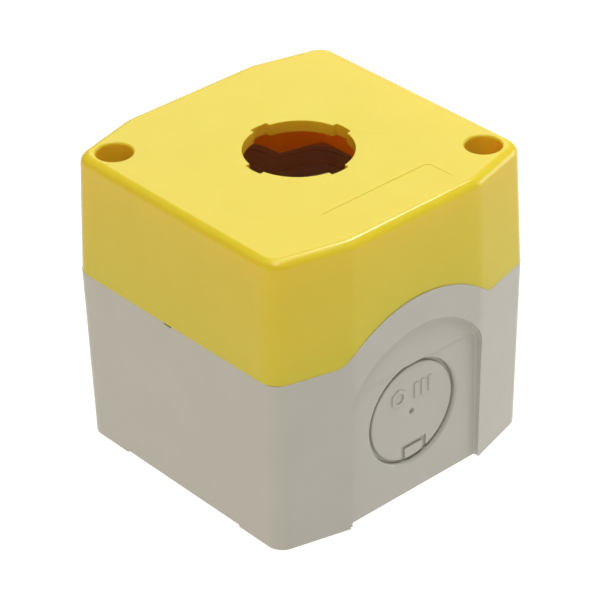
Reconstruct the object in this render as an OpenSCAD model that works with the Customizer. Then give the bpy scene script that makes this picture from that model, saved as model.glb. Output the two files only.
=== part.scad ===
// One-hole push-button enclosure: a moulded base with two cable knock-outs, and a screwed-on cover
// with a keyed hole for a 22 mm control head. Millimetres. The origin is the centre of the plane
// that the feet stand on, +Z goes up through the button hole, and -Y is the side with the label recess.

/* [Enclosure] */
// Width across the two plain sides, at the cover's rim
box_w = 68; // [66:0.5:72]
// Depth across the crowns of the two cable-entry sides, at the cover's rim
box_d = 68.4; // [66:0.2:72]
// Height from the feet to the top face
box_h = 65.8; // [62:0.2:72]
// Height of the joint between base and cover
joint_z = 39.3; // [37:0.1:42]
// Radius of the upright corners
corner_r = 4.4; // [3.5:0.1:6]
// How far the crown of a cable-entry side stands out from its corners
crown_rise = 4.6; // [3:0.1:5]

/* [Walls] */
// Thickness of the cover's walls
cover_wall = 2.4; // [2.2:0.1:2.6]
// Thickness of the plate that holds the button
top_plate = 2.5; // [2:0.1:4]
// Thickness of the base's floor, above the feet
floor_t = 2.5; // [2:0.1:4]
// Radius of the cover's top edge
edge_r = 2.0; // [1:0.1:2.2]

/* [Button hole] */
// Diameter of the button hole
hole_d = 22.3; // [22.3:0.1:22.7]
// Width of each of the four locating notches
notch_w = 4.1; // [3:0.1:4.2]
// Depth of each notch beyond the hole
notch_depth = 1.0; // [0.6:0.1:1.2]

/* [Cable entries] */
// Height of the knock-outs' axis, which the arches share
entry_z = 19.3; // [19:0.5:20]
// Diameter of the hole that a knock-out leaves
entry_d = 23.3; // [22.6:0.1:23.6]
// Radius of the arch in the joint line
arch_r = 28; // [27:0.1:28.5]
// Radius of the sunk panel's arch
panel_r = 20.6; // [20:0.1:21]
// Half width of the sunk panel
panel_half = 17.8; // [17:0.1:18.5]

/* [Screws] */
// Distance of the cover screws from the middle, along X
screw_x = 27; // [26.5:0.1:27.2]
// Distance of the cover screws from the middle, along Y
screw_y = 24; // [23.5:0.1:24.2]
// Diameter of the wells that the screw heads sit in
well_d = 7.4; // [7.4:0.1:7.6]
// Height of the wells' floors
well_z = 46; // [45.5:0.1:47]
// Length of a cover screw under its head
screw_len = 14; // [13.5:0.1:14.2]

/* [Hidden] */

yellow = [0.93, 0.80, 0.10];
warm_grey = [0.70, 0.68, 0.63];
brass = [0.75, 0.60, 0.30];
steel = [0.72, 0.73, 0.75];
black = [0.10, 0.10, 0.10];

thin = 0.01;            // height of the slabs that a drafted shape is stretched over
arc_step = 12;          // degrees between the points of a rounded corner
crown_half = 17;        // where a cable-entry side bends, from the middle
crown_bend_r = 6;       // radius of that bend
cover_draft = 0.9;      // how far the cover's walls lean in, from rim to top
base_top_inset = 0.05;  // the base's walls stand back from the cover's rim by this
base_draft = 0.65;      // how far the base's walls lean in, from joint to feet
foot_h = 0.5;           // height of the four corner feet
foot_y = 17.4;          // the feet begin this far from the middle, along Y
foot_round = 0.3;       // how far the feet's lower edges are drawn in

cavity_wall = 2.6;      // from the cover's outline in to the base's cavity
lip_out = 1.45;         // from the cover's outline in to the outside of the base's lip
lip_h = 3.0;            // height of the lip over the joint
rebate_out = 1.3;       // from the cover's outline in to the rebate that the lip enters
rebate_in = 3.2;        // from the cover's outline in to where the rebate ends
rebate_h = 4.3;         // height of the rebate over the joint
gasket_gap = 0.05;      // between the gasket and the base's lip
rim_gap = 0.1;          // between the base's edge and the cover's rim
rim_fillet = 4;         // radius where the arch runs into the straight joint

panel_y = 32.4;         // outside of the sunk panel, from the middle
panel_wall = 2.3;       // thickness of the wall behind the panel
panel_pad = 1.5;        // how far that wall runs past the panel's outline
shoulder_r = 6;         // radius where the panel's arch runs into its upright sides
disc_gap = 0.75;        // width of the groove round a knock-out
disc_sunk = 0.4;        // a knock-out's face lies this far behind the panel
web_t = 0.3;            // thickness of the web that holds a knock-out
web_depth = 0.7;        // the web lies this far behind the knock-out's face
mark_t = 0.25;          // height of the raised mark on a knock-out
mark_z = 4.6;           // height of that mark over the knock-out's middle
tab_x = 0.5;            // the tab on a knock-out, from the middle
tab_h = 7.4;            // depth of the tab's trench below the middle
tab_w = 6.8;            // width over the tab's trench
trench_w = 1;
trench_depth = 0.5;

well_r = well_d / 2;
column_r = 5.3;         // columns of the cover's wells
boss_r = 4.9;           // bosses in the base, under the columns
head_r = 3.4;
head_h = 2.6;
seal_r = 0.7;           // radius of the screw seal's cord
shank_r = 1.95;
insert_r = 2.8;
insert_len = 6.1;
insert_bore_r = 2.0;
insert_z = joint_z - 0.3 - insert_len;
fixing_r = 2.25;
label_w = 28.4;
label_d = 7.6;
label_y = -25.4;
label_depth = 0.25;
label_r = 1.2;

screw_places = [[-screw_x, screw_y], [screw_x, -screw_y]];
fixing_places = [[-screw_x, -screw_y], [screw_x, screw_y]];
crown_slope = crown_rise / (box_w / 2 - crown_half);

// Points of the arc of radius r that rounds the corner q between p and s
function unit(v) = v / norm(v);
function fillet(p, q, s, r) =
    let (a = unit(p - q),
         b = unit(s - q),
         half = acos(a * b) / 2,
         centre = q + unit(a + b) * r / sin(half),
         from = q + a * r / tan(half) - centre,
         to = q + b * r / tan(half) - centre,
         first = atan2(from.y, from.x),
         turn = (atan2(to.y, to.x) - first + 540) % 360 - 180,
         n = max(2, ceil(abs(turn) / arc_step)))
    [for (k = [0:n]) centre + r * [cos(first + turn * k / n), sin(first + turn * k / n)]];

function rounded(points, radii) =
    let (n = len(points))
    [for (i = [0:n - 1]) each fillet(points[(i + n - 1) % n], points[i], points[(i + 1) % n], radii[i])];

// The enclosure seen from above, drawn in by an inset all round
function plan(inset) =
    let (w = box_w / 2 - inset,
         crown = box_d / 2 - inset,
         bend = crown_half - inset * (sqrt(1 + crown_slope ^ 2) - 1) / crown_slope,
         shoulder = crown - crown_slope * (w - bend),
         r = max(corner_r - inset, 0.8))
    rounded([[-w, -shoulder], [-bend, -crown], [bend, -crown], [w, -shoulder],
             [w, shoulder], [bend, crown], [-bend, crown], [-w, shoulder]],
            [r, crown_bend_r, crown_bend_r, r, r, crown_bend_r, crown_bend_r, r]);

module slab(z, inset) translate([0, 0, z]) linear_extrude(thin) polygon(plan(inset));
// A solid that passes through the plan at each [height, inset] of levels
module drafted(levels) hull() for (level = levels) slab(level[0], level[1]);

function cover_inset(z) = cover_draft * (z - joint_z) / (box_h - joint_z);
function base_inset(z) = base_top_inset + base_draft * (1 - z / joint_z);

// The joint line, lifted by h: straight at the corners, with an arch over each cable entry
function joint_line(h) =
    let (r = arch_r + h,
         f = max(rim_fillet - h, 0.5),
         flat = joint_z + h,
         fillet_z = flat + f,
         fillet_x = sqrt((r + f) ^ 2 - (fillet_z - entry_z) ^ 2),
         tangent = atan2(fillet_z - entry_z, fillet_x),
         bend = [for (k = [0:4]) 270 - k * (90 - tangent) / 4])
    concat([[box_w, flat]],
           [for (a = bend) [fillet_x, fillet_z] + f * [cos(a), sin(a)]],
           [for (k = [1:15]) [0, entry_z] + r * [cos(tangent + k * (180 - 2 * tangent) / 16),
                                                sin(tangent + k * (180 - 2 * tangent) / 16)]],
           [for (k = [4:-1:0]) [-fillet_x, fillet_z] + f * [-cos(bend[k]), sin(bend[k])]],
           [[-box_w, flat]]);

// Everything from side to side below the joint line, lifted by h
module below_joint(h)
    rotate([90, 0, 0]) linear_extrude(2 * box_d, center = true)
        polygon(concat(joint_line(h), [[-box_w, -box_h], [box_w, -box_h]]));

// An upright wall between two insets of the plan, from the base's middle to over the arch
module ring(outer, inner)
    translate([0, 0, joint_z - 8]) linear_extrude(26)
        difference() {
            polygon(plan(outer));
            polygon(plan(inner));
        }

// The arch over a cable entry as an upright outline, in the X-Z plane, with rounded shoulders
module entry_arch(r, half) {
    f = shoulder_r;
    shoulder = [half - f, sqrt((r - f) ^ 2 - (half - f) ^ 2)];
    turn = atan2(shoulder.y, shoulder.x);
    right = [for (k = [0:4]) shoulder + f * [cos(turn * k / 4), sin(turn * k / 4)]];
    crown = [for (k = [1:23]) r * [cos(turn + k * (90 - turn) / 12), sin(turn + k * (90 - turn) / 12)]];
    translate([0, entry_z])
        polygon(concat([[half, -box_h]], right, crown,
                       [for (k = [4:-1:0]) [-right[k].x, right[k].y]], [[-half, -box_h]]));
}

// An upright outline given depth from y1 to y2, on the front and, turned round, on the rear
module on_both_entries(y1, y2)
    for (turn = [0, 180])
        rotate(turn) translate([0, y2, 0]) rotate([90, 0, 0]) linear_extrude(y2 - y1) children();

module at(places) for (p = places) translate([p.x, p.y, 0]) children();

module base_shell() {
    difference() {
        intersection() {
            drafted([[0, base_inset(0) + foot_round], [foot_round, base_inset(0)],
                     [joint_z + lip_h + 6, base_inset(joint_z + lip_h + 6)]]);
            below_joint(-rim_gap);
        }
        drafted([[foot_h + floor_t, cavity_wall + base_draft], [box_h, cavity_wall]]);
    }
    // the lip that the cover's rebate comes down over
    intersection() {
        ring(lip_out, cavity_wall);
        below_joint(lip_h);
    }
}

module base_boss(r, top) translate([0, 0, foot_h]) cylinder(r = r, h = top - foot_h, $fn = 64);

module base() color(warm_grey)
    difference() {
        union() {
            base_shell();
            // the thicker wall behind each sunk panel
            intersection() {
                on_both_entries(-panel_y, panel_wall - panel_y)
                    entry_arch(panel_r + panel_pad, panel_half + panel_pad);
                translate([0, 0, foot_h + box_h / 2]) cube([box_w, 2 * box_d, box_h], center = true);
            }
            at(screw_places) base_boss(boss_r, joint_z - 0.3);
            at(fixing_places) base_boss(boss_r, foot_h + floor_t + 2);
        }
        on_both_entries(-box_d, -panel_y) entry_arch(panel_r, panel_half);
        for (turn = [0, 180])
            rotate(turn) translate([0, -panel_y + panel_wall + 1, entry_z]) rotate([90, 0, 0])
                cylinder(d = entry_d, h = panel_wall + 4, $fn = 96);
        at(screw_places) translate([0, 0, insert_z]) cylinder(r = insert_r, h = insert_len + 1, $fn = 64);
        at(screw_places) translate([0, 0, insert_z - 2]) cylinder(r = insert_bore_r, h = 3, $fn = 64);
        at(fixing_places) translate([0, 0, -1]) cylinder(r = fixing_r, h = floor_t + 6, $fn = 64);
        // the channels that leave the four feet standing
        translate([0, 0, foot_h / 2 - 0.5]) cube([2 * panel_half, 2 * box_d, foot_h + 1], center = true);
        translate([0, 0, foot_h / 2 - 0.5]) cube([2 * box_w, 2 * foot_y, foot_h + 1], center = true);
    }

module cover() color(yellow)
    difference() {
        drafted(concat([[joint_z - 1, cover_inset(joint_z - 1)]],
                       [for (a = [0:18:90])
                           let (z = box_h - thin - edge_r * (1 - sin(a)))
                           [z, cover_inset(z) + edge_r * (1 - cos(a))]]));
        // the inside, round the columns of the screw wells
        difference() {
            drafted([for (z = [0, box_h - top_plate - thin]) [z, cover_wall + cover_inset(z)]]);
            at(screw_places) cylinder(r = column_r, h = box_h, $fn = 64);
        }
        below_joint(0);
        // the rebate that takes the base's lip and the gasket
        intersection() {
            ring(rebate_out, rebate_in);
            below_joint(rebate_h);
        }
        translate([0, 0, box_h / 2]) cylinder(d = hole_d, h = box_h, $fn = 128);
        for (turn = [0:90:270])
            rotate(turn) translate([hole_d / 4, -notch_w / 2, box_h - top_plate - 1])
                cube([hole_d / 4 + notch_depth, notch_w, top_plate + 2]);
        at(screw_places) {
            translate([0, 0, well_z]) cylinder(r = well_r, h = box_h, $fn = 64);
            translate([0, 0, joint_z - 1]) cylinder(r = shank_r + 0.35, h = box_h, $fn = 64);
        }
        translate([0, label_y, box_h - label_depth]) linear_extrude(1)
            polygon(rounded([[-label_w, -label_d] / 2, [label_w, -label_d] / 2,
                             [label_w, label_d] / 2, [-label_w, label_d] / 2],
                            [label_r, label_r, label_r, label_r]));
    }

module cover_gasket() color(black)
    difference() {
        intersection() {
            ring(lip_out, cavity_wall - 0.1);
            below_joint(rebate_h);
        }
        below_joint(lip_h + gasket_gap);
    }

// A knock-out as it lies in the front wall: a disc with a thin web out to the wall, a drill centre,
// a tab at its lower edge to strike it at, and a raised mark of a gland nut beside three bars
module cable_knockout() color(warm_grey) {
    front = disc_sunk - panel_y;
    back = panel_wall - panel_y;
    disc_r = entry_d / 2 - disc_gap;
    tab_z = entry_z - tab_h;
    difference() {
        translate([0, back, entry_z]) rotate([90, 0, 0]) cylinder(r = disc_r, h = back - front, $fn = 96);
        translate([0, front + 0.5, entry_z]) rotate([90, 0, 0]) cylinder(r = 0.6, h = 1, $fn = 24);
        // the trench on three sides of the tab
        difference() {
            translate([tab_x - tab_w / 2, front - 1, tab_z - 6]) cube([tab_w, 1 + trench_depth, 6]);
            translate([tab_x - tab_w / 2 + trench_w, front - 2, tab_z - 8])
                cube([tab_w - 2 * trench_w, 4, 8 - trench_w]);
        }
    }
    difference() {
        translate([0, front + web_depth + web_t, entry_z]) rotate([90, 0, 0])
            cylinder(d = entry_d, h = web_t, $fn = 96);
        translate([0, back + 1, entry_z]) rotate([90, 0, 0]) cylinder(r = disc_r - 1, h = 5, $fn = 96);
    }
    translate([0, front, entry_z + mark_z]) rotate([90, 0, 0]) linear_extrude(mark_t) {
        translate([-3.6, 0]) difference() {
            circle(2.1, $fn = 6);
            circle(1.2, $fn = 24);
        }
        for (k = [0:2]) translate([0.6 + 1.9 * k, -1.8]) square([0.9, 3.6]);
    }
}

module cable_knockout_front() cable_knockout();
module cable_knockout_rear() rotate(180) cable_knockout();

module thread_insert() color(brass)
    translate([0, 0, insert_z]) difference() {
        cylinder(r = insert_r, h = insert_len, $fn = 64);
        translate([0, 0, -1]) cylinder(r = insert_bore_r, h = insert_len + 2, $fn = 64);
    }

// A cheese-head screw with a cross recess, standing on its seal
module cover_screw() color(steel)
    translate([0, 0, well_z + 2 * seal_r]) {
        difference() {
            cylinder(r = head_r, h = head_h, $fn = 64);
            for (turn = [0, 90])
                rotate(turn) translate([0, 0, head_h]) cube([4.4, 0.9, 2.8], center = true);
        }
        translate([0, 0, 0.6 - screw_len]) cylinder(r = shank_r, h = screw_len - 0.6, $fn = 48);
        translate([0, 0, -screw_len]) cylinder(r1 = shank_r - 0.5, r2 = shank_r, h = 0.6, $fn = 48);
    }

module screw_seal() color(black)
    translate([0, 0, well_z + seal_r]) rotate_extrude($fn = 64)
        translate([shank_r + 0.05 + seal_r, 0]) circle(seal_r, $fn = 32);

module thread_insert_left() at([screw_places[0]]) thread_insert();
module thread_insert_right() at([screw_places[1]]) thread_insert();
module cover_screw_left() at([screw_places[0]]) cover_screw();
module cover_screw_right() at([screw_places[1]]) cover_screw();
module screw_seal_left() at([screw_places[0]]) screw_seal();
module screw_seal_right() at([screw_places[1]]) screw_seal();

base();
cover();
cover_gasket();
cable_knockout_front();
cable_knockout_rear();
thread_insert_left();
thread_insert_right();
cover_screw_left();
cover_screw_right();
screw_seal_left();
screw_seal_right();
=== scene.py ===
"""The looks of a one-hole push-button enclosure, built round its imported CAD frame.

Pieces are modelled in millimetres on the bench and scaled to metres as they are finished.
"""
import logging
import math
from collections.abc import Callable, Iterator, Sequence
from contextlib import contextmanager
from dataclasses import dataclass, field
from enum import Enum

import bmesh
import bpy
from mathutils import Matrix, Vector


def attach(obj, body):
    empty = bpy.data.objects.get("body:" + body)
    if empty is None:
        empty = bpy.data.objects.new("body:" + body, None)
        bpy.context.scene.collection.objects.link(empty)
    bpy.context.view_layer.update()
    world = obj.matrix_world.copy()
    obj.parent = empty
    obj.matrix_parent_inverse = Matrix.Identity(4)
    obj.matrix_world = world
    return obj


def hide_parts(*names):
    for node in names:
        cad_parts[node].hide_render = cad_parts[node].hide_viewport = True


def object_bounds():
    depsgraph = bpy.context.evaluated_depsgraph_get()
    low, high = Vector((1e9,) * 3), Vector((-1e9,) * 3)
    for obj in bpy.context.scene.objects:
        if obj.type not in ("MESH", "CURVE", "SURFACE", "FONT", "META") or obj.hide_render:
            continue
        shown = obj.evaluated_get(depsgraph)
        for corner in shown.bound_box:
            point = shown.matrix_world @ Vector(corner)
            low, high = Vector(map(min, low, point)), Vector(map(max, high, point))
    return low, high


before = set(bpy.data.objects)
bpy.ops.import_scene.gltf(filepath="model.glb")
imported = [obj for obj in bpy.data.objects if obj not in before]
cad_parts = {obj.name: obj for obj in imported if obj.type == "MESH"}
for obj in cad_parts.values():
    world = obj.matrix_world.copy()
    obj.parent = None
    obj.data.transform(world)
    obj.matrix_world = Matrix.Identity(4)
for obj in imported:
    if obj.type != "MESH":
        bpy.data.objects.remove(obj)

CAD_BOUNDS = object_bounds()
MM = 0.001
log = logging.getLogger("enclosure")

Point = tuple[float, float]
Triple = tuple[float, float, float]


class Side(Enum):
    """The two cable-entry sides, by the half turn that brings the front one there."""

    FRONT = 0.0
    REAR = math.pi


class Cut(Enum):
    """What a boolean does with the tool."""

    AWAY = "DIFFERENCE"
    JOIN = "UNION"
    KEEP = "INTERSECT"


# ---------------------------------------------------------------- modelling by hand


def take(piece: bpy.types.Object) -> None:
    """Selects one object alone and makes it active."""
    bpy.ops.object.select_all(action="DESELECT")
    piece.select_set(True)
    bpy.context.view_layer.objects.active = piece


@contextmanager
def editing(piece: bpy.types.Object, mode: str = "VERT") -> Iterator[None]:
    """Edit mode on one object, with nothing selected.

    Args:
        piece: the object to edit.
        mode: the selection mode, VERT, EDGE or FACE.
    """
    take(piece)
    bpy.ops.object.mode_set(mode="EDIT")
    bpy.ops.mesh.select_mode(type=mode)
    bpy.ops.mesh.select_all(action="DESELECT")
    yield
    bpy.ops.object.mode_set(mode="OBJECT")


def pick_verts(piece: bpy.types.Object, test: Callable[[Vector], bool]) -> None:
    """Selects the vertices whose place passes a test, in edit mode.

    Args:
        piece: the object in edit mode.
        test: given a vertex's place, says whether it is wanted.
    """
    mesh = bmesh.from_edit_mesh(piece.data)
    for vert in mesh.verts:
        vert.select_set(test(vert.co))
    mesh.select_flush_mode()
    bmesh.update_edit_mesh(piece.data)


def pick_faces(piece: bpy.types.Object, test: Callable[[Vector, Vector], bool]) -> None:
    """Selects the faces whose middle and normal pass a test, in edit mode.

    Args:
        piece: the object in edit mode.
        test: given a face's middle and its normal, says whether it is wanted.
    """
    mesh = bmesh.from_edit_mesh(piece.data)
    mesh.normal_update()
    for face in mesh.faces:
        face.select_set(test(face.calc_center_median(), face.normal))
    mesh.select_flush_mode()
    bmesh.update_edit_mesh(piece.data)


def pick_edges(piece: bpy.types.Object, test: Callable[[Vector, Vector, Vector], bool]) -> int:
    """Selects the edges between two faces by their middle and the two normals, in edit mode.

    Args:
        piece: the object in edit mode.
        test: given an edge's middle and its two faces' normals, says whether it is wanted.

    Returns:
        How many were selected.
    """
    mesh = bmesh.from_edit_mesh(piece.data)
    mesh.normal_update()
    wanted = []
    for edge in mesh.edges:
        edge.select_set(False)
        if len(edge.link_faces) == 2:
            first, second = (face.normal for face in edge.link_faces)
            middle = (edge.verts[0].co + edge.verts[1].co) / 2
            if test(middle, first, second) or test(middle, second, first):
                wanted.append(edge)
    for edge in wanted:
        edge.select_set(True)
    mesh.select_flush_mode()
    bmesh.update_edit_mesh(piece.data)
    return len(wanted)


def soften(piece: bpy.types.Object, width: float, cuts: int,
           test: Callable[[Vector, Vector, Vector], bool]) -> None:
    """Rounds the edges that pass a test.

    Args:
        piece: the object to work on.
        width: how far the rounding reaches from the edge.
        cuts: how many segments it has.
        test: as pick_edges takes it.
    """
    with editing(piece, "EDGE"):
        if pick_edges(piece, test):
            bpy.ops.mesh.bevel(offset=width, offset_type="OFFSET", segments=cuts, profile=0.5,
                               affect="EDGES", clamp_overlap=True)


def block(name: str, low: Triple, high: Triple) -> bpy.types.Object:
    """A box between two corners.

    Args:
        name: the object's name.
        low: the corner with the lowest coordinates.
        high: the opposite corner.

    Returns:
        The new object.
    """
    middle = [(a + b) / 2 for a, b in zip(low, high)]
    bpy.ops.object.select_all(action="DESELECT")
    bpy.ops.mesh.primitive_cube_add(size=1)
    piece = bpy.context.object
    piece.name = name
    with editing(piece):
        bpy.ops.mesh.select_all(action="SELECT")
        bpy.ops.transform.resize(value=[b - a for a, b in zip(low, high)], center_override=(0, 0, 0))
        bpy.ops.transform.translate(value=middle)
    return piece


def rod(name: str, radius: float, low: float, high: float, at: Point = (0, 0), sides: int = 64,
        tip_radius: float | None = None) -> bpy.types.Object:
    """An upright cylinder or cone.

    Args:
        name: the object's name.
        radius: its radius at the bottom.
        low: the height of its lower end.
        high: the height of its upper end.
        at: where its axis stands.
        sides: how many sides it has.
        tip_radius: its radius at the top, if that differs.

    Returns:
        The new object.
    """
    bpy.ops.object.select_all(action="DESELECT")
    bpy.ops.mesh.primitive_cone_add(vertices=sides, radius1=radius, depth=high - low,
                                    radius2=radius if tip_radius is None else tip_radius,
                                    location=(at[0], at[1], (low + high) / 2))
    piece = bpy.context.object
    piece.name = name
    bpy.ops.object.transform_apply(location=True)
    return piece


def turn(piece: bpy.types.Object, about: str, angle: float) -> bpy.types.Object:
    """Turns a mesh about one of the row's axes, through the origin.

    Args:
        piece: the object to turn.
        about: X, Y or Z.
        angle: in radians, by the right-hand rule.

    Returns:
        The same object.
    """
    take(piece)
    piece.matrix_world = Matrix.Rotation(angle, 4, about) @ piece.matrix_world
    bpy.ops.object.transform_apply(location=True, rotation=True, scale=True)
    return piece


def shift(piece: bpy.types.Object, by: Triple) -> bpy.types.Object:
    """Moves a mesh.

    Args:
        piece: the object to move.
        by: how far, along each axis.

    Returns:
        The same object.
    """
    with editing(piece):
        bpy.ops.mesh.select_all(action="SELECT")
        bpy.ops.transform.translate(value=by)
    return piece


def combine(piece: bpy.types.Object, tool: bpy.types.Object, cut: Cut) -> None:
    """Applies a boolean and removes its tool.

    Args:
        piece: the object that stays.
        tool: the object that cuts or joins it.
        cut: what to do.
    """
    take(piece)
    boolean = piece.modifiers.new("boolean", "BOOLEAN")
    boolean.operation = cut.value
    boolean.solver = "EXACT"
    boolean.object = tool
    bpy.ops.object.modifier_apply(modifier=boolean.name)
    bpy.data.objects.remove(tool)
    with editing(piece):
        bpy.ops.mesh.select_all(action="SELECT")
        bpy.ops.mesh.remove_doubles(threshold=0.002)
        bpy.ops.mesh.dissolve_degenerate(threshold=0.002)


@dataclass(frozen=True)
class Corner:
    """A corner of an outline, rounded to a radius."""

    at: Point
    radius: float = 0.0


def traced(name: str, corners: Sequence[Corner], low: float, high: float,
           step: float = 9.0) -> bpy.types.Object:
    """An outline drawn with extrudes and spins, filled and extruded upwards.

    Args:
        name: the object's name.
        corners: the outline's corners, anticlockwise, in the X-Y plane.
        low: the height the outline lies at.
        high: the height it is extruded to.
        step: degrees between the points of a rounded corner.

    Returns:
        The closed solid.
    """
    bpy.ops.object.select_all(action="DESELECT")
    bpy.ops.mesh.primitive_plane_add(size=1)
    piece = bpy.context.object
    piece.name = name
    pen = Vector((0, 0, low))
    with editing(piece):
        bpy.ops.mesh.select_all(action="SELECT")
        bpy.ops.mesh.merge(type="CENTER")
        for number, corner in enumerate(corners):
            here = Vector(corner.at)
            before = (Vector(corners[number - 1].at) - here).normalized()
            after = (Vector(corners[(number + 1) % len(corners)].at) - here).normalized()
            half = before.angle(after) / 2
            start = here + before * (corner.radius / math.tan(half))
            goal = Vector((start.x, start.y, low))
            if number == 0:
                bpy.ops.transform.translate(value=goal)
            else:
                bpy.ops.mesh.extrude_region_move(TRANSFORM_OT_translate={"value": goal - pen})
            pen = goal
            if corner.radius:
                centre = here + (before + after).normalized() * (corner.radius / math.sin(half))
                spoke = start - centre
                bend = math.pi - 2 * half
                if before.x * after.y - before.y * after.x > 0:
                    bend = -bend
                cuts = max(2, math.ceil(abs(math.degrees(bend)) / step))
                bpy.ops.mesh.spin(steps=cuts, angle=-bend, center=(centre.x, centre.y, low),
                                  axis=(0, 0, 1), dupli=False, use_auto_merge=False)
                spoke.rotate(Matrix.Rotation(bend, 2))
                pen = Vector((centre.x + spoke.x, centre.y + spoke.y, low))
        bpy.ops.mesh.select_all(action="SELECT")
        bpy.ops.mesh.remove_doubles(threshold=0.001)
        bpy.ops.mesh.edge_face_add()
        bpy.ops.mesh.select_all(action="SELECT")
        bpy.ops.mesh.extrude_region_move(TRANSFORM_OT_translate={"value": (0, 0, high - low)})
        bpy.ops.mesh.select_all(action="SELECT")
        bpy.ops.mesh.normals_make_consistent(inside=False)
    return piece


def swell(piece: bpy.types.Object, height: float, along_x: float, along_y: float) -> None:
    """Scales the vertices at one height about the Z axis, to give a prism a lean.

    Args:
        piece: the object to work on.
        height: the vertices' Z.
        along_x: the scale along X.
        along_y: the scale along Y.
    """
    with editing(piece):
        pick_verts(piece, lambda spot: abs(spot.z - height) < 0.01)
        bpy.ops.transform.resize(value=(along_x, along_y, 1), center_override=(0, 0, 0))


def flare(piece: bpy.types.Object, levels: Sequence[Point], half: float) -> None:
    """Carries a prism's top up through levels, each of its own width.

    Args:
        piece: a prism round the Z axis.
        levels: how high each level is, the top now being the first, and how much wider than half.
        half: the half width or radius that the levels' widths are added to.
    """
    with editing(piece, "FACE"):
        pick_faces(piece, lambda middle, normal: normal.z > 0.9)
        for (low, before), (high, after) in zip(levels, levels[1:]):
            grown = (half + after) / (half + before)
            bpy.ops.mesh.extrude_region_move(TRANSFORM_OT_translate={"value": (0, 0, high - low)})
            bpy.ops.transform.resize(value=(grown, grown, 1), center_override=(0, 0, 0))


def finished(piece: bpy.types.Object, smooth: float = 32.0) -> bpy.types.Object:
    """Scales a piece to metres, cleans it and smooths its shading where it bends gently.

    Args:
        piece: the piece, in millimetres.
        smooth: the sharpest bend, in degrees, that is shaded smooth.

    Returns:
        The same object.
    """
    with editing(piece):
        bpy.ops.mesh.select_all(action="SELECT")
        bpy.ops.transform.resize(value=(MM, MM, MM), center_override=(0, 0, 0))
        bpy.ops.mesh.normals_make_consistent(inside=False)
    take(piece)
    bpy.ops.object.shade_smooth_by_angle(angle=math.radians(smooth))
    weighted = piece.modifiers.new("even shading", "WEIGHTED_NORMAL")
    weighted.keep_sharp = True
    weighted.weight = 80
    bpy.ops.object.modifier_apply(modifier=weighted.name)
    return piece


def copied(piece: bpy.types.Object, name: str) -> bpy.types.Object:
    """A copy of a piece with its own mesh.

    Args:
        piece: the piece to copy.
        name: the copy's name.

    Returns:
        The copy.
    """
    take(piece)
    bpy.ops.object.duplicate(linked=False)
    copy = bpy.context.object
    copy.name = name
    return copy


def place(piece: bpy.types.Object, body: str, node: str | None,
          finish: bpy.types.Material) -> None:
    """Gives a piece its body, its CAD node and its finish, and reports it.

    Args:
        piece: the finished piece.
        body: the CAD body it rides on.
        node: the CAD node it stands for, if any.
        finish: its material.
    """
    piece.data.materials.clear()
    piece.data.materials.append(finish)
    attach(piece, body)
    if node:
        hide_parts(node)
    log.info("%s: %d faces, on %s", piece.name, len(piece.data.polygons), body)


# ---------------------------------------------------------------- finishes


class Nodes:
    """A material's node tree, with short ways to add to it."""

    def __init__(self, name: str) -> None:
        """Starts a material with a Principled shader alone."""
        self.material = bpy.data.materials.new(name)
        self.material.use_nodes = True
        self.tree = self.material.node_tree
        self.shader = self.tree.nodes["Principled BSDF"]

    def add(self, kind: str, **values: object) -> bpy.types.Node:
        """Adds a node.

        Args:
            kind: the node's type.
            values: its sockets by name, with _ for a space, or its properties.

        Returns:
            The new node.
        """
        node = self.tree.nodes.new(kind)
        for name, value in values.items():
            socket = name.replace("_", " ")
            if socket in node.inputs:
                node.inputs[socket].default_value = value
            else:
                setattr(node, name, value)
        return node

    def link(self, source: bpy.types.NodeSocket, goal: bpy.types.NodeSocket) -> None:
        """Joins two sockets."""
        self.tree.links.new(source, goal)

    def noise(self, size_mm: float, detail: float = 2.0) -> bpy.types.NodeSocket:
        """Noise on Object coordinates.

        Args:
            size_mm: about how wide one bump of it is.
            detail: how many finer octaves it has.

        Returns:
            The socket with its value.
        """
        place_of = self.add("ShaderNodeTexCoord")
        noise = self.add("ShaderNodeTexNoise", Scale=1 / (size_mm * MM), Detail=detail)
        self.link(place_of.outputs["Object"], noise.inputs["Vector"])
        return noise.outputs["Fac"]

    def spread(self, value: bpy.types.NodeSocket, low: float, high: float) -> bpy.types.NodeSocket:
        """Maps the middle of a noise onto a range.

        Args:
            value: the noise.
            low: what its low end becomes.
            high: what its high end becomes.

        Returns:
            The socket with the result.
        """
        mapped = self.add("ShaderNodeMapRange", From_Min=0.3, From_Max=0.7, To_Min=low, To_Max=high)
        self.link(value, mapped.inputs["Value"])
        return mapped.outputs["Result"]

    def mix(self, share: bpy.types.NodeSocket, first: Sequence[float],
            second: Sequence[float]) -> bpy.types.NodeSocket:
        """Mixes two colours.

        Args:
            share: how much of the second.
            first: the first colour.
            second: the second colour.

        Returns:
            The socket with the colour.
        """
        mixed = self.add("ShaderNodeMix", data_type="RGBA")
        colours = [socket for socket in mixed.inputs if socket.type == "RGBA"]
        colours[0].default_value = (*first, 1)
        colours[1].default_value = (*second, 1)
        self.link(share, mixed.inputs["Factor"])
        return next(socket for socket in mixed.outputs if socket.type == "RGBA")

    def bump(self, height: bpy.types.NodeSocket, depth_mm: float,
             under: bpy.types.NodeSocket | None = None) -> bpy.types.NodeSocket:
        """Bump from a height.

        Args:
            height: the height, from 0 to 1.
            depth_mm: how deep that range is.
            under: a bump to lay this one over.

        Returns:
            The socket with the normal.
        """
        bump = self.add("ShaderNodeBump", Strength=1.0, Distance=depth_mm * MM)
        self.link(height, bump.inputs["Height"])
        if under is not None:
            self.link(under, bump.inputs["Normal"])
        return bump.outputs["Normal"]


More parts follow.
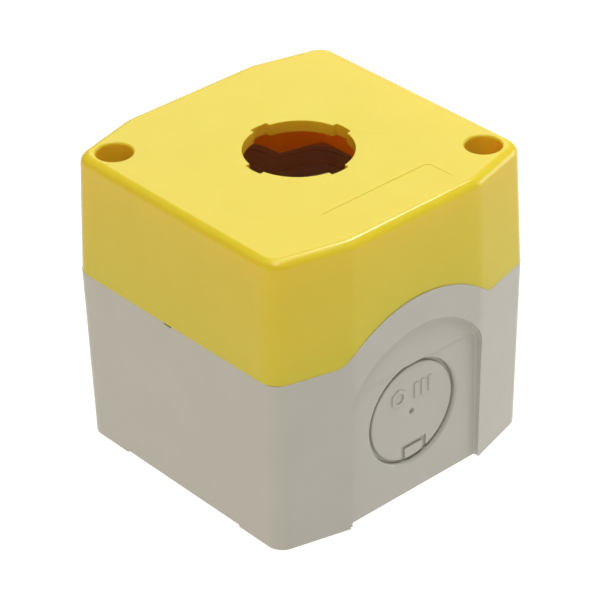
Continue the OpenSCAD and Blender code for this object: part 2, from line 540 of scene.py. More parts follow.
@dataclass(frozen=True)
class MouldedPlastic:
    """A moulded plastic: an even colour with slight flow marks, and a fine spark-eroded grain."""

    name: str
    colour: Triple
    flow_colour: Triple
    roughness: float
    roughness_spread: float
    grain_mm: float
    grain_depth_mm: float
    specular: float = 0.5
    glow: float = 0.0
    glow_reach_mm: Triple = (1.0, 1.0, 1.0)
    let_through: float = 0.0
    through_colour: Triple = (1.0, 1.0, 1.0)

    def build(self) -> bpy.types.Material:
        """Builds the material."""
        nodes = Nodes(self.name)
        shader = nodes.shader
        flow = nodes.spread(nodes.noise(9.0, 4.0), 0.0, 1.0)
        nodes.link(nodes.mix(flow, self.colour, self.flow_colour), shader.inputs["Base Color"])
        rough = nodes.spread(nodes.noise(3.0, 3.0), self.roughness - self.roughness_spread,
                             self.roughness + self.roughness_spread)
        nodes.link(rough, shader.inputs["Roughness"])
        grain = nodes.bump(nodes.noise(self.grain_mm, 2.0), self.grain_depth_mm)
        nodes.link(nodes.bump(nodes.noise(14.0, 1.0), 0.02, grain), shader.inputs["Normal"])
        shader.inputs["IOR"].default_value = 1.49
        shader.inputs["Subsurface Weight"].default_value = self.glow
        shader.inputs["Subsurface Radius"].default_value = [reach * MM for reach in self.glow_reach_mm]
        shader.inputs["Subsurface Scale"].default_value = 1.0
        shader.inputs["Specular IOR Level"].default_value = self.specular
        if self.let_through:
            through = nodes.add("ShaderNodeBsdfTranslucent", Color=(*self.through_colour, 1))
            mixed = nodes.add("ShaderNodeMixShader", Fac=self.let_through)
            nodes.link(shader.outputs["BSDF"], mixed.inputs[1])
            nodes.link(through.outputs["BSDF"], mixed.inputs[2])
            nodes.link(mixed.outputs["Shader"], nodes.tree.nodes["Material Output"].inputs["Surface"])
        return nodes.material


@dataclass(frozen=True)
class TurnedMetal:
    """A small turned metal part: fine rings round its upright axis, and a little tarnish."""

    name: str
    colour: Triple
    tarnish: Triple
    roughness: float
    at: Point

    def build(self) -> bpy.types.Material:
        """Builds the material."""
        nodes = Nodes(self.name)
        shader = nodes.shader
        shader.inputs["Metallic"].default_value = 1.0
        shade = nodes.spread(nodes.noise(0.8, 4.0), 0.0, 1.0)
        nodes.link(nodes.mix(shade, self.colour, self.tarnish), shader.inputs["Base Color"])
        nodes.link(nodes.spread(nodes.noise(0.5, 3.0), self.roughness - 0.08, self.roughness + 0.1),
                   shader.inputs["Roughness"])
        place_of = nodes.add("ShaderNodeTexCoord")
        centred = nodes.add("ShaderNodeMapping", Location=(-self.at[0] * MM, -self.at[1] * MM, 0))
        rings = nodes.add("ShaderNodeTexWave", wave_type="RINGS", rings_direction="Z",
                          Scale=1 / (1.6 * MM), Distortion=0.4)
        nodes.link(place_of.outputs["Object"], centred.inputs["Vector"])
        nodes.link(centred.outputs["Vector"], rings.inputs["Vector"])
        nodes.link(nodes.bump(rings.outputs["Fac"], 0.006), shader.inputs["Normal"])
        return nodes.material


@dataclass(frozen=True)
class SealRubber:
    """A matt seal rubber with a faint bloom."""

    name: str
    colour: Triple = (0.018, 0.018, 0.019)
    bloom: Triple = (0.05, 0.05, 0.052)

    def build(self) -> bpy.types.Material:
        """Builds the material."""
        nodes = Nodes(self.name)
        shader = nodes.shader
        nodes.link(nodes.mix(nodes.spread(nodes.noise(2.0, 4.0), 0.0, 0.8), self.colour, self.bloom),
                   shader.inputs["Base Color"])
        nodes.link(nodes.spread(nodes.noise(1.0), 0.62, 0.8), shader.inputs["Roughness"])
        nodes.link(nodes.bump(nodes.noise(0.25, 2.0), 0.012), shader.inputs["Normal"])
        return nodes.material


@dataclass(frozen=True)
class StudioFloor:
    """A plain pale floor that stays light beside the object."""

    name: str = "pale_floor"
    colour: Triple = (0.10, 0.10, 0.10)
    glow: Triple = (1.08, 1.04, 1.0)

    def build(self) -> bpy.types.Material:
        """Builds the material."""
        nodes = Nodes(self.name)
        nodes.shader.inputs["Base Color"].default_value = (*self.colour, 1)
        nodes.shader.inputs["Roughness"].default_value = 0.9
        nodes.shader.inputs["Specular IOR Level"].default_value = 0.0
        strength = max(self.glow)
        nodes.shader.inputs["Emission Color"].default_value = (*(part / strength for part in self.glow), 1)
        nodes.shader.inputs["Emission Strength"].default_value = strength
        return nodes.material


# ---------------------------------------------------------------- shared sizes


@dataclass(frozen=True)
class Box:
    """The enclosure's outline and its joint, which base and cover share. Millimetres."""

    width: float = 68.0
    depth: float = 68.4
    height: float = 65.8
    joint: float = 39.3
    crown_half: float = 17.0
    crown_rise: float = 4.6
    corner_radius: float = 4.4
    bend_radius: float = 9.0
    entry: float = 19.3
    arch_radius: float = 28.0
    arch_fillet: float = 4.0
    shoulder_radius: float = 6.0
    inner_corner: float = 6.5
    screw_x: float = 27.0
    screw_y: float = 24.0

    @property
    def screws(self) -> list[Point]:
        """Where the cover screws stand, left then right."""
        return [(-self.screw_x, self.screw_y), (self.screw_x, -self.screw_y)]

    @property
    def fixings(self) -> list[Point]:
        """Where the wall-fixing holes are."""
        return [(-self.screw_x, -self.screw_y), (self.screw_x, self.screw_y)]

    def plan(self, inset: float, corner: float = 0.8) -> list[Corner]:
        """The outline seen from above, drawn in all round.

        Args:
            inset: how far it is drawn in.
            corner: the least radius of its corners.

        Returns:
            Its corners, anticlockwise.
        """
        slope = self.crown_rise / (self.width / 2 - self.crown_half)
        side = self.width / 2 - inset
        crown = self.depth / 2 - inset
        bend = self.crown_half - inset * (math.hypot(1, slope) - 1) / slope
        shoulder = crown - slope * (side - bend)
        radius = max(self.corner_radius - inset, corner)
        quarter = [Corner((side, -shoulder), radius), Corner((side, shoulder), radius),
                   Corner((bend, crown), self.bend_radius), Corner((-bend, crown), self.bend_radius)]
        return quarter + [Corner((-corner.at[0], -corner.at[1]), corner.radius) for corner in quarter]

    def upright(self, name: str, inset: float, low: float, high: float, lean: float,
                corner: float = 0.8) -> bpy.types.Object:
        """A solid with the plan outline whose walls lean in.

        Args:
            name: the object's name.
            inset: how far the plan is drawn in at the bottom.
            low: the height of its bottom.
            high: the height of its top.
            lean: how much further it is drawn in at the top.
            corner: the least radius of its corners.

        Returns:
            The solid.
        """
        solid = traced(name, self.plan(inset, corner), low, high)
        half_width = self.width / 2 - inset
        half_depth = self.depth / 2 - inset
        swell(solid, high, (half_width - lean) / half_width, (half_depth - lean) / half_depth)
        return solid

    def below_joint(self, name: str, lift: float) -> bpy.types.Object:
        """Everything from side to side below the joint line.

        Args:
            name: the object's name.
            lift: how far the line is lifted.

        Returns:
            The solid, with the two arches.
        """
        radius = self.arch_radius + lift
        fillet = max(self.arch_fillet - lift, 0.5)
        arc, fillet_arc = 36, 8
        flat = self.joint + lift
        fillet_z = flat + fillet
        fillet_x = math.sqrt((radius + fillet) ** 2 - (fillet_z - self.entry) ** 2)
        tangent = math.atan2(fillet_z - self.entry, fillet_x)
        crown = [(radius * math.cos(tangent + (math.pi - 2 * tangent) * k / arc),
                  self.entry + radius * math.sin(tangent + (math.pi - 2 * tangent) * k / arc))
                 for k in range(1, arc)]
        bend = [(fillet_x + fillet * math.cos(angle), fillet_z + fillet * math.sin(angle))
                for angle in (-math.pi / 2 - (math.pi / 2 - tangent) * k / fillet_arc
                              for k in range(fillet_arc + 1))]
        right = [(self.width, -self.height), (self.width, flat), *bend]
        left = [(-x, z) for x, z in reversed(right)]
        outline = [Corner((x, z)) for x, z in right + crown + left]
        solid = traced(name, outline, -self.depth, self.depth)
        return turn(solid, "X", math.pi / 2)

    def arch(self, name: str, radius: float, half: float, side: Side, levels: Sequence[Point],
             edge: float = 0.0, lean: float = 0.0) -> bpy.types.Object:
        """An arched block over a cable entry, standing in a side wall.

        Args:
            name: the object's name.
            radius: the arch's radius, round the entry's axis.
            half: its half width under the arch.
            side: which cable-entry side.
            levels: from the inside out, how far from the middle it is and how much wider there.
            edge: how far its inner face's edges are rounded.
            lean: how far it tips back about the joint's height, in radians.

        Returns:
            The block.
        """
        bend = self.shoulder_radius
        arc, bend_arc = 36, 8
        shoulder = (half - bend, math.sqrt((radius - bend) ** 2 - (half - bend) ** 2))
        start = math.atan2(shoulder[1], shoulder[0])
        right = [(shoulder[0] + bend * math.cos(start * k / bend_arc),
                  shoulder[1] + bend * math.sin(start * k / bend_arc)) for k in range(bend_arc + 1)]
        crown = [(radius * math.cos(start + (math.pi - 2 * start) * k / arc),
                  radius * math.sin(start + (math.pi - 2 * start) * k / arc)) for k in range(1, arc)]
        left = [(-x, z) for x, z in reversed(right)]
        outline = [Corner((-half, -2 * self.entry)), Corner((half, -2 * self.entry))]
        outline += [Corner(point) for point in right + crown + left]
        solid = traced(name, outline, levels[0][0], levels[1][0])
        if edge:
            soften(solid, edge, 5, lambda middle, one, two: one.z < -0.9 and abs(two.z) < 0.3)
        for height, spread in levels[:2]:
            if spread:
                swell(solid, height, 1 + spread / half, 1 + spread / half)
        flare(solid, levels[1:], half)
        turn(solid, "X", math.pi / 2)
        shift(solid, (0, 0, self.entry - self.joint))
        turn(solid, "X", -lean)
        shift(solid, (0, 0, self.joint))
        return turn(solid, "Z", side.value)


# ---------------------------------------------------------------- the pieces


def outward(middle: Vector, normal: Vector) -> bool:
    """Whether a wall's normal points away from the enclosure's middle."""
    return abs(normal.z) < 0.15 and middle.x * normal.x + middle.y * normal.y > 0


def ring(name: str, box: Box, outer: float, inner: float, lift: float,
         corner: float = 0.8) -> bpy.types.Object:
    """An upright band that follows the outline and ends at the lifted joint line.

    Args:
        name: the object's name.
        box: the shared sizes.
        outer: from the outline in to the band's outside.
        inner: from the outline in to its inside.
        lift: how far above the joint line it ends.
        corner: the least radius of its inner corners.

    Returns:
        The band.
    """
    low, high = box.joint - 8, box.joint + 18
    band = traced(name, box.plan(outer), low, high)
    combine(band, traced("core", box.plan(inner, corner), low - 1, high + 1), Cut.AWAY)
    combine(band, box.below_joint("limit", lift), Cut.KEEP)
    return band


@dataclass
class Cover:
    """The yellow cover: a shell with a keyed button hole, two screw wells and a label recess."""

    box: Box
    finish: bpy.types.Material
    wall: float = 2.4
    plate: float = 2.5
    lean: float = 0.9
    top_edge: float = 2.0
    inner_edge: float = 0.9
    rim_edge: float = 0.3
    hole_edge: float = 0.4
    notch_edge: float = 0.3
    # A well's mouth: how far from the top, and how much wider there.
    mouth_levels: tuple[Point, ...] = ((-0.6, 0.0), (-0.3, 0.05), (-0.12, 0.16), (-0.02, 0.32), (0.3, 0.9))
    hole_radius: float = 11.15
    notch_radius: float = 12.15
    notch_width: float = 4.2
    column_radius: float = 5.3
    well_radius: float = 3.7
    well_floor: float = 46.0
    shank_hole: float = 2.3
    # From the outline in to its outside and its inside, and its height over the joint.
    rebate: tuple[float, float, float] = (1.3, 3.2, 4.3)
    # Across and from front to back.
    label: tuple[float, float] = (28.4, 7.6)
    label_front: float = -29.2
    label_depth: float = 0.07
    label_corner: float = 1.2

    def inset(self, height: float) -> float:
        """How far the walls have leaned in at a height."""
        return self.lean * (height - self.box.joint) / (self.box.height - self.box.joint)

    def hull(self) -> bpy.types.Object:
        """The outside, with its rounded top edge."""
        low = self.box.joint - 2
        solid = self.box.upright("cover_shell", self.inset(low), low, self.box.height,
                                 self.inset(self.box.height) - self.inset(low))
        soften(solid, self.top_edge, 8, lambda middle, one, two: one.z > 0.9 and abs(two.z) < 0.3)
        return solid

    def inside(self) -> bpy.types.Object:
        """The room inside, with its rounded upper edge."""
        low = self.box.joint - 3
        high = self.box.height - self.plate
        room = self.box.upright("cover_room", self.wall + self.inset(low), low, high,
                                self.inset(high) - self.inset(low))
        soften(room, self.inner_edge, 4, lambda middle, one, two: one.z > 0.9 and abs(two.z) < 0.3)
        return room

    def hole_tool(self) -> bpy.types.Object:
        """What cuts the button hole and its four locating notches."""
        low, high = self.box.height - self.plate - 1, self.box.height + 1
        tool = rod("hole_tool", self.hole_radius, low, high, sides=96)
        notches = rod("notches", self.notch_radius, low, high, sides=96)
        reach, half = self.notch_radius + 2, self.notch_width / 2
        cross = block("cross", (-reach, -half, low - 1), (reach, half, high + 1))
        combine(cross, block("arm", (-half, -reach, low - 1), (half, reach, high + 1)), Cut.JOIN)
        combine(notches, cross, Cut.KEEP)
        combine(tool, notches, Cut.JOIN)
        soften(tool, self.notch_edge, 3, lambda middle, one, two: abs(one.z) < 0.1 and abs(two.z) < 0.1
               and one.angle(two) > 0.6)
        return tool

    def well_tool(self) -> bpy.types.Object:
        """What cuts a screw well, flared at its mouth."""
        start = self.box.height + self.mouth_levels[0][0]
        tool = rod("well_tool", self.well_radius, self.well_floor, start)
        flare(tool, self.mouth_levels, self.well_radius)
        return tool

    def label_tool(self) -> bpy.types.Object:
        """What cuts the label recess, which is deep at the back and runs out at the front."""
        width, depth = self.label
        corners = [Corner(at, self.label_corner) for at in
                   ((-width / 2, 0), (width / 2, 0), (width / 2, depth), (-width / 2, depth))]
        tool = traced("label_tool", corners, 0, 2)
        turn(tool, "X", -math.asin((self.label_depth - 0.03) / depth))
        return shift(tool, (0, self.label_front, self.box.height - 0.03))

    def shell(self) -> bpy.types.Object:
        """The whole cover."""
        shell, box = self.hull(), self.box
        combine(shell, self.inside(), Cut.AWAY)
        for at in box.screws:
            combine(shell, rod("column", self.column_radius, box.joint - 2, box.height - 1, at), Cut.JOIN)
        combine(shell, box.below_joint("joint_tool", 0), Cut.AWAY)
        outer, inner, lift = self.rebate
        combine(shell, ring("rebate_tool", box, outer, inner, lift), Cut.AWAY)
        combine(shell, self.hole_tool(), Cut.AWAY)
        for at in box.screws:
            combine(shell, shift(self.well_tool(), (*at, 0)), Cut.AWAY)
            combine(shell, rod("shank_tool", self.shank_hole, box.joint - 3, self.well_floor + 1, at,
                               sides=40), Cut.AWAY)
        combine(shell, self.label_tool(), Cut.AWAY)
        self.round_edges(shell)
        return finished(shell)

    def round_edges(self, shell: bpy.types.Object) -> None:
        """Rounds the mouth of the hole, and the rim beside the arches."""
        top = self.box.height
        reach = self.notch_radius + 0.5
        soften(shell, self.hole_edge, 4, lambda middle, one, two: one.z > 0.9 and abs(two.z) < 0.2
               and abs(middle.z - top) < 0.01 and middle.xy.length < reach)
        soften(shell, self.rim_edge, 4, lambda middle, one, two: outward(middle, one) and two.z < -0.9
               and abs(middle.z - self.box.joint) < 0.05)

    def build(self) -> None:
        """Builds and places the cover."""
        place(self.shell(), "cover_body", "cover", self.finish)


@dataclass
class Gasket:
    """The strip of rubber in the cover's rebate, over the base's lip."""

    box: Box
    finish: bpy.types.Material
    outer: float = 1.45
    inner: float = 2.5
    low: float = 3.05
    high: float = 4.28

    def build(self) -> None:
        """Builds and places the strip."""
        strip = ring("gasket_strip", self.box, self.outer, self.inner, self.high, self.box.inner_corner)
        combine(strip, self.box.below_joint("lip_top", self.low), Cut.AWAY)
        soften(strip, 0.2, 2, lambda middle, one, two: abs(one.z) < 0.15 and two.z < -0.3)
        place(finished(strip), "cover_body", "cover_gasket", self.finish)


@dataclass
class Base:
    """The grey base: a tub with a sunk panel and a knock-out hole in each cable-entry side."""

    box: Box
    finish: bpy.types.Material
    top_inset: float = 0.12
    lean: float = 0.6
    floor: float = 2.5
    foot: float = 0.5
    foot_y: float = 17.4
    foot_edge: float = 0.35
    room_inset: float = 2.6
    room_edge: float = 1.0
    # From the outline in to its outside and its inside, and its height over the joint.
    lip: tuple[float, float, float] = (1.45, 2.6, 3.0)
    lip_edge: float = 0.2
    rim_gap: float = 0.01
    rim_edge: float = 0.12
    # The rim's corners are where X and Y, both taken as positive, add up to more than this.
    rim_from: float = 50.0
    panel: float = 32.4
    panel_wall: float = 2.3
    panel_radius: float = 20.1
    panel_half: float = 17.3
    panel_edge: float = 0.45
    # The panel's side wall and its rounded mouth: how far from the middle, and how much wider there.
    panel_levels: tuple[Point, ...] = ((32.4, 0), (36, 0.9))
    mouth_levels: tuple[Point, ...] = ((33.4, 0.26), (33.72, 0.32), (33.9, 0.41), (34.0, 0.53), (34.06, 0.7),
                                       (34.2, 1.4))
    channel_half: float = 17.8
    pad_margin: float = 1.5
    pad_edge: float = 1.2
    hole_radius: float = 11.65
    hole_edge: float = 0.6
    boss_radius: float = 4.9
    # Its radius and length.
    insert: tuple[float, float] = (2.8, 6.1)
    tip_radius: float = 2.0
    fixing_radius: float = 2.25
    # Its place along Y, its length and its height.
    nick: tuple[float, float, float] = (1.3, 2.2, 0.45)

    def inset(self, height: float) -> float:
        """How far the walls stand back from the outline at a height."""
        return self.top_inset + self.lean * (1 - height / self.box.joint)

    def tub(self) -> bpy.types.Object:
        """The walls up to the joint with both sunk panels, hollowed, and the lip that enters the cover."""
        box, high = self.box, self.box.joint + 12
        tub = box.upright("base_tub", self.inset(0), 0, high, self.inset(high) - self.inset(0))
        lean = math.atan(self.lean / box.joint)
        for side in Side:
            combine(tub, box.arch("panel_tool", self.panel_radius, self.panel_half, side,
                                  self.panel_levels, edge=self.panel_edge), Cut.AWAY)
            combine(tub, box.arch("mouth_tool", self.panel_radius, self.panel_half, side,
                                  self.mouth_levels, lean=lean), Cut.AWAY)
        soften(tub, self.foot_edge, 3, lambda middle, one, two: one.z < -0.9 and abs(two.z) < 0.3)
        combine(tub, box.below_joint("joint_limit", -self.rim_gap), Cut.KEEP)
        floor = self.foot + self.floor
        room = box.upright("base_room", self.room_inset + self.lean, floor, box.height, -self.lean,
                           box.inner_corner)
        soften(room, self.room_edge, 4, lambda middle, one, two: one.z < -0.9 and abs(two.z) < 0.3)
        combine(tub, room, Cut.AWAY)
        outer, inner, lift = self.lip
        lip = ring("lip", box, outer, inner, lift, box.inner_corner)
        soften(lip, self.lip_edge, 2, lambda middle, one, two: abs(one.z) < 0.15 and two.z > 0.3)
        combine(tub, lip, Cut.JOIN)
        return tub

    def add_inside(self, tub: bpy.types.Object) -> None:
        """Adds the wall pads behind the panels, the bosses and their webs."""
        box, bottom = self.box, self.foot + 0.6
        for side in Side:
            pad = box.arch("pad", self.panel_radius + self.pad_margin + 0.7,
                           self.channel_half + self.pad_margin, side,
                           ((self.panel - self.panel_wall, 0), (self.panel - 0.2, 0)))
            soften(pad, self.pad_edge, 5, lambda middle, one, two: abs(one.y) > 0.9 and abs(two.y) < 0.2
                   and abs(middle.y) < self.panel - 1)
            combine(pad, block("over_floor", (-box.width, -box.depth, bottom),
                               (box.width, box.depth, box.height)), Cut.KEEP)
            combine(tub, pad, Cut.JOIN)
        for at in box.screws:
            combine(tub, rod("boss", self.boss_radius, bottom, box.joint - 0.3, at), Cut.JOIN)
        low_top = self.foot + self.floor + 2
        for at in box.fixings:
            combine(tub, rod("fixing_boss", self.boss_radius, bottom, low_top, at), Cut.JOIN)
        for x, y in box.screws:
            inward = 1 if x < 0 else -1
            low, high = sorted((x, x + inward * (self.boss_radius + 3.2)))
            combine(tub, block("web", (low, y - 0.7, bottom), (high, y + 0.7, box.joint - 14)), Cut.JOIN)

    def cut_entries(self, tub: bpy.types.Object) -> None:
        """Cuts the knock-out holes through both panels."""
        hole = turn(rod("entry_tool", self.hole_radius, -self.box.depth, self.box.depth, sides=96),
                    "X", math.pi / 2)
        combine(tub, shift(hole, (0, 0, self.box.entry)), Cut.AWAY)

    def cut_screw_holes(self, tub: bpy.types.Object) -> None:
        """Cuts the pockets of the thread inserts and the wall-fixing holes."""
        radius, length = self.insert
        low = self.box.joint - 0.3 - length
        for at in self.box.screws:
            combine(tub, rod("insert_tool", radius, low, self.box.joint + 1, at, 48), Cut.AWAY)
            combine(tub, rod("tip_tool", self.tip_radius, low - 2, low + 1, at, 32), Cut.AWAY)
        for at in self.box.fixings:
            combine(tub, rod("fixing_tool", self.fixing_radius, -1, 9, at, 40), Cut.AWAY)

    def cut_underside(self, tub: bpy.types.Object) -> None:
        """Cuts the two channels that leave the four feet, and the nick for prising the cover off."""
        box = self.box
        for across, along in ((self.channel_half, box.depth), (box.width, self.foot_y)):
            combine(tub, block("channel", (-across, -along, -1), (across, along, self.foot)), Cut.AWAY)
        y, length, height = self.nick
        combine(tub, block("nick", (-box.width, y - length / 2, box.joint - height),
                           (0.6 - box.width / 2, y + length / 2, box.joint)), Cut.AWAY)

    def round_edges(self, tub: bpy.types.Object) -> None:
        """Rounds the rim at its corners, and the knock-out holes' mouths."""
        middle_of_hole = Vector((0, self.box.entry))
        soften(tub, self.rim_edge, 2, lambda middle, one, two: outward(middle, one) and two.z > 0.3
               and abs(two.y) < 0.2 and abs(middle.x) + abs(middle.y) > self.rim_from)
        soften(tub, self.hole_edge, 5, lambda middle, one, two: abs(one.y) > 0.9 and abs(two.y) < 0.2
               and abs(abs(middle.y) - self.panel) < 0.05
               and abs((Vector((middle.x, middle.z)) - middle_of_hole).length - self.hole_radius) < 0.2)

    def build(self) -> None:
        """Builds and places the base."""
        tub = self.tub()
        self.add_inside(tub)
        self.cut_entries(tub)
        self.cut_screw_holes(tub)
        self.cut_underside(tub)
        self.round_edges(tub)
        place(finished(tub), "base_body", "base", self.finish)


@dataclass
class KnockOut:
    """A knock-out disc: a thin web round it, a drill centre, a tab to strike it at and a raised mark."""

    box: Box
    finish: bpy.types.Material
    radius: float = 10.9
    hole_radius: float = 11.6
    front: float = 32.0
    back: float = 30.1
    front_edge: float = 0.28
    # How far behind the front it is, and its thickness.
    web: tuple[float, float] = (0.7, 0.3)
    # Its middle, its width, its top and the trench's width round it.
    tab: tuple[float, float, float, float] = (0.5, 6.8, -7.4, 1.0)
    trench: float = 0.45
    mark_height: float = 4.6
    mark_rise: float = 0.25
    nut_at: float = -3.6
    nut_radius: float = 2.1
    nut_bore: float = 1.2
    bars: int = 3
    first_bar: float = 0.6
    bar_pitch: float = 1.9
    bar_width: float = 0.9
    bar_half_height: float = 1.8

    def mark(self) -> list[bpy.types.Object]:
        """The raised mark: a gland nut beside three bars."""
        low, high = self.front - 0.3, self.front + self.mark_rise
        at = (self.nut_at, self.mark_height)
        nut = rod("nut_mark", self.nut_radius, low, high, at, 6)
        soften(nut, 0.1, 2, lambda middle, one, two: one.z > 0.9 and abs(two.z) < 0.2)
        combine(nut, rod("nut_hole", self.nut_bore, low - 1, high + 1, at, 32), Cut.AWAY)
        raised = [nut]
        for number in range(self.bars):
            left = self.first_bar + self.bar_pitch * number
            bar = block("bar_mark", (left, self.mark_height - self.bar_half_height, low),
                        (left + self.bar_width, self.mark_height + self.bar_half_height, high))
            soften(bar, 0.12, 2, lambda middle, one, two: one.z > 0.9 and abs(two.z) < 0.2)
            raised.append(bar)
        return raised

    def disc(self) -> bpy.types.Object:
        """The disc, lying flat with its front upwards."""
        disc = rod("knockout_front", self.radius, self.back, self.front, sides=96)
        soften(disc, self.front_edge, 4, lambda middle, one, two: one.z > 0.9 and abs(two.z) < 0.2)
        middle, width, top, gap = self.tab
        trench = block("trench", (middle - width / 2, top - 6, self.front - self.trench),
                       (middle + width / 2, top, self.front + 1))
        combine(trench, block("tab", (middle - width / 2 + gap, top - 8, self.front - 2),
                              (middle + width / 2 - gap, top - gap, self.front + 2)), Cut.AWAY)
        combine(disc, trench, Cut.AWAY)
        combine(disc, rod("drill_centre", 0.45, self.front - 0.5, self.front + 0.5, sides=32,
                          tip_radius=1.05), Cut.AWAY)
        depth, thickness = self.web
        combine(disc, rod("web", self.hole_radius, self.front - depth - thickness, self.front - depth,
                          sides=96), Cut.JOIN)
        for raised in self.mark():
            combine(disc, raised, Cut.JOIN)
        turn(disc, "X", math.pi / 2)
        return shift(disc, (0, 0, self.box.entry))

    def build(self) -> None:
        """Builds and places both knock-outs."""
        front = self.disc()
        rear = turn(copied(front, "knockout_rear"), "Z", Side.REAR.value)
        place(finished(front), "base_body", "cable_knockout_front", self.finish)
        place(finished(rear), "base_body", "cable_knockout_rear", self.finish)


@dataclass
class CoverScrew:
    """A cheese-head screw with a cross recess and a rolled thread."""

    at: Point
    side: str
    finish: bpy.types.Material
    seat: float = 47.4
    head_radius: float = 3.4
    head_height: float = 2.6
    length: float = 14.0
    core_radius: float = 1.6
    thread_radius: float = 1.94
    pitch: float = 0.7
    turns: int = 17

    def head(self) -> bpy.types.Object:
        """The head, with its tapered cross recess."""
        top = self.seat + self.head_height
        head = rod(f"screw_{self.side}", self.head_radius, self.seat, top, sides=64)
        soften(head, 0.35, 4, lambda middle, one, two: one.z > 0.9 and abs(two.z) < 0.2)
        for quarter in (0, math.pi / 2):
            arm = block("arm", (-2.2, -0.45, top - 1.5), (2.2, 0.45, top + 0.5))
            with editing(arm):
                pick_verts(arm, lambda spot: spot.z < top - 1)
                bpy.ops.transform.resize(value=(0.35, 0.75, 1), center_override=(0, 0, top))
            combine(head, turn(arm, "Z", quarter), Cut.AWAY)
        return head

    def shank(self) -> bpy.types.Object:
        """The core, with its tapered tip."""
        low = self.seat - self.length
        shank = rod("shank", self.core_radius, low, self.seat + 0.4, sides=40)
        soften(shank, 0.5, 3, lambda middle, one, two: one.z < -0.9 and abs(two.z) < 0.2)
        return shank

    def thread(self) -> bpy.types.Object:
        """The rolled thread: one tooth carried up a helix, closed at both ends."""
        low = self.seat - self.length + 0.7
        half = self.pitch * 0.45
        root, crest, flat = self.core_radius - 0.1, self.thread_radius, 0.06
        corners = [Corner((root, -half)), Corner((crest, -flat)), Corner((crest, flat)), Corner((root, half))]
        tooth = traced("thread", corners, 0, 0.1)
        turn(tooth, "X", math.pi / 2)
        with editing(tooth, "FACE"):
            pick_faces(tooth, lambda middle, normal: middle.y < -0.09)
            bpy.ops.mesh.delete(type="VERT")
        take(tooth)
        helix = tooth.modifiers.new("helix", "SCREW")
        helix.axis = "Z"
        helix.angle = 2 * math.pi
        helix.screw_offset = self.pitch
        helix.iterations = self.turns
        helix.steps = helix.render_steps = 20
        bpy.ops.object.modifier_apply(modifier=helix.name)
        with editing(tooth, "EDGE"):
            bpy.ops.mesh.select_all(action="SELECT")
            bpy.ops.mesh.remove_doubles(threshold=0.002)
            bpy.ops.mesh.select_all(action="DESELECT")
            bpy.ops.mesh.select_non_manifold(extend=False)
            bpy.ops.mesh.fill()
            bpy.ops.mesh.select_all(action="SELECT")
            bpy.ops.mesh.normals_make_consistent(inside=False)
        return shift(tooth, (0, 0, low))

    def build(self) -> None:
        """Builds and places the screw."""
        screw, shank, thread = self.head(), self.shank(), self.thread()
        combine(screw, shank, Cut.JOIN)
        take(screw)
        thread.select_set(True)
        bpy.ops.object.join()
        shift(screw, (*self.at, 0))
        place(finished(screw), f"screw_{self.side}_body", f"cover_screw_{self.side}",
              self.finish)


@dataclass
class ThreadInsert:
    """A brass insert pressed into a boss of the base."""

    at: Point
    side: str
    finish: bpy.types.Material
    top: float = 39.0
    radius: float = 2.8
    bore: float = 2.0
    length: float = 6.1

    def build(self) -> None:
        """Builds and places the insert."""
        low = self.top - self.length
        insert = rod(f"insert_{self.side}", self.radius, low, self.top, sides=48)
        for height in (low + 1.9, low + 3.9):
            groove = rod("groove", self.radius + 1, height, height + 0.5, sides=48)
            combine(groove, rod("core", self.radius - 0.25, height - 1, height + 2, sides=48), Cut.AWAY)
            combine(insert, groove, Cut.AWAY)
        combine(insert, rod("bore", self.bore, low - 1, self.top + 1, sides=40), Cut.AWAY)
        soften(insert, 0.18, 2, lambda middle, one, two: abs(one.z) > 0.9 and abs(two.z) < 0.2)
        shift(insert, (*self.at, 0))
        place(finished(insert), "base_body", f"thread_insert_{self.side}", self.finish)


@dataclass
class ScrewSeal:
    """A sealing ring under a screw's head, with the faint flash line of its mould."""

    at: Point
    side: str
    finish: bpy.types.Material
    height: float = 46.7
    ring_radius: float = 2.7
    cord_radius: float = 0.69

    def build(self) -> None:
        """Builds and places the ring."""
        bpy.ops.object.select_all(action="DESELECT")
        bpy.ops.mesh.primitive_torus_add(major_radius=self.ring_radius, minor_radius=self.cord_radius,
                                         major_segments=64, minor_segments=24)
        seal = bpy.context.object
        seal.name = f"seal_{self.side}"
        outer = self.ring_radius + self.cord_radius
        with editing(seal, "EDGE"):
            pick_edges(seal, lambda middle, one, two: abs(middle.z) < 0.01
                       and middle.xy.length > outer - 0.05)
            bpy.ops.mesh.bevel(offset=0.05, segments=2, profile=1.0, affect="EDGES")
        shift(seal, (*self.at, self.height))
        place(finished(seal, 60.0), f"seal_{self.side}_body", f"screw_seal_{self.side}",
              self.finish)


# ---------------------------------------------------------------- the studio


@dataclass(frozen=True)
class SoftLight:
    """A square soft light."""

    name: str
    place_mm: Triple
    size_mm: float
    power: float
    colour: Triple = (1.0, 1.0, 1.0)
    aim_mm: Triple = (0.0, 0.0, 32.0)

    def build(self) -> None:
        """Hangs the light and aims it."""
        data = bpy.data.lights.new(self.name, "AREA")
        data.energy = self.power
        data.size = self.size_mm * MM
        data.color = self.colour
        lamp = bpy.data.objects.new(self.name, data)
        bpy.context.scene.collection.objects.link(lamp)
        lamp.location = Vector(self.place_mm) * MM
        aim = Vector(self.aim_mm) - Vector(self.place_mm)
        lamp.rotation_euler = aim.to_track_quat("-Z", "Y").to_euler()


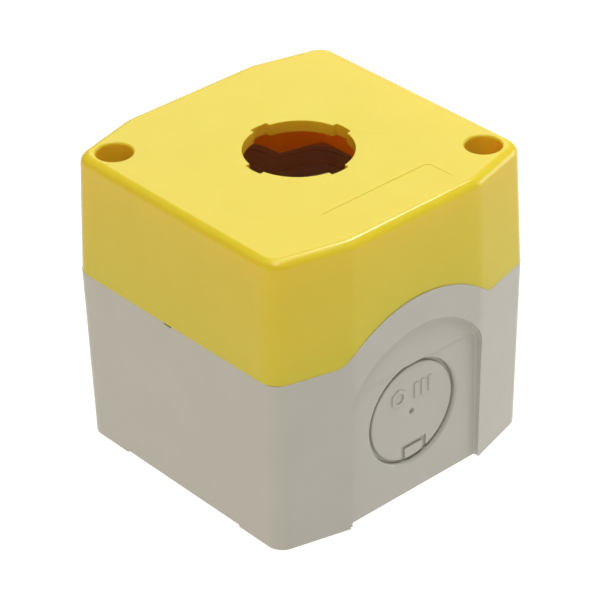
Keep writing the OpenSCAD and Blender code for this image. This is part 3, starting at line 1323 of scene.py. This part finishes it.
@dataclass(frozen=True)
class Viewpoint:
    """Where the camera stands: angles in degrees, lengths in millimetres."""

    azimuth: float = -41.37
    elevation: float = 32.83
    roll: float = -1.31
    distance: float = 569.1
    target: Triple = (-1.73, -1.31, 31.82)
    lens: float = 169.42

    def build(self) -> None:
        """Sets up the scene's camera."""
        around, up_by, rolled = (math.radians(a) for a in (self.azimuth, self.elevation, self.roll))
        back = Vector((math.sin(around) * math.cos(up_by), -math.cos(around) * math.cos(up_by),
                       math.sin(up_by)))
        level = Vector((math.cos(around), math.sin(around), 0))
        upright = back.cross(level)
        right = level * math.cos(rolled) + upright * math.sin(rolled)
        above = upright * math.cos(rolled) - level * math.sin(rolled)
        data = bpy.data.cameras.new("camera")
        data.lens = self.lens
        data.sensor_width = 36
        data.clip_start, data.clip_end = 0.01, 20
        camera = bpy.data.objects.new("camera", data)
        bpy.context.scene.collection.objects.link(camera)
        facing = Matrix((right, above, back)).transposed().to_4x4()
        camera.matrix_world = Matrix.Translation((Vector(self.target) + back * self.distance) * MM) @ facing
        bpy.context.scene.camera = camera


@dataclass
class Studio:
    """A pale floor, an even surround and soft lights."""

    floor: StudioFloor = field(default_factory=StudioFloor)
    surround: Triple = (1.0, 0.98, 0.94)
    surround_strength: float = 0.16
    lights: tuple[SoftLight, ...] = (
        SoftLight("overhead", (20, -60, 660), 380, 1.8),
        SoftLight("overhead_front", (-190, -215, 610), 160, 0.85),
        SoftLight("overhead_right", (340, 90, 610), 110, 1.7),
        SoftLight("behind", (420, 480, 430), 420, 1.0),
        SoftLight("right", (560, -220, 150), 260, 1.0),
        SoftLight("left", (-580, 60, 160), 260, 0.42, (1.0, 0.78, 0.4)),
    )

    def build(self) -> None:
        """Builds the floor, the surround, the lights and the camera."""
        bpy.ops.object.select_all(action="DESELECT")
        bpy.ops.mesh.primitive_plane_add(size=6, location=(0, 0, CAD_BOUNDS[0][2]))
        floor = bpy.context.object
        floor.name = "studio_floor"
        floor.data.materials.append(self.floor.build())
        world = bpy.data.worlds.new("surround")
        world.use_nodes = True
        background = world.node_tree.nodes["Background"]
        background.inputs["Color"].default_value = (*self.surround, 1)
        background.inputs["Strength"].default_value = self.surround_strength
        bpy.context.scene.world = world
        bpy.context.scene.view_settings.view_transform = "Standard"
        for light in self.lights:
            light.build()
        Viewpoint().build()


def main() -> None:
    """Builds every piece in order, then the studio."""
    logging.basicConfig(level=logging.INFO, format="%(name)s: %(message)s")
    box = Box()
    yellow = MouldedPlastic(
        "yellow_cover_plastic", colour=(0.83, 0.755, 0.04), flow_colour=(0.85, 0.775, 0.05), roughness=0.22,
        roughness_spread=0.04, grain_mm=0.35, grain_depth_mm=0.006, specular=0.5, glow=0.3,
        glow_reach_mm=(2.6, 1.3, 0.12), let_through=0.3, through_colour=(1.0, 0.36, 0.02)).build()
    grey = MouldedPlastic(
        "grey_base_plastic", colour=(0.465, 0.455, 0.40), flow_colour=(0.485, 0.47, 0.415), roughness=0.38,
        roughness_spread=0.05, grain_mm=0.32, grain_depth_mm=0.010, specular=0.5).build()
    rubber = SealRubber("black_seal_rubber").build()
    foam = SealRubber("grey_gasket_rubber", (0.50, 0.49, 0.45), (0.56, 0.55, 0.51)).build()
    Cover(box, yellow).build()
    Gasket(box, foam).build()
    Base(box, grey).build()
    KnockOut(box, grey).build()
    for side, at in zip(("left", "right"), box.screws):
        steel = TurnedMetal(f"zinc_screw_{side}", (0.62, 0.63, 0.66), (0.50, 0.51, 0.54), 0.3, at).build()
        brass = TurnedMetal(f"brass_insert_{side}", (0.72, 0.53, 0.24), (0.55, 0.40, 0.18), 0.32, at).build()
        CoverScrew(at, side, steel).build()
        ScrewSeal(at, side, rubber).build()
        ThreadInsert(at, side, brass).build()
    Studio().build()


if __name__ == "__main__":
    main()
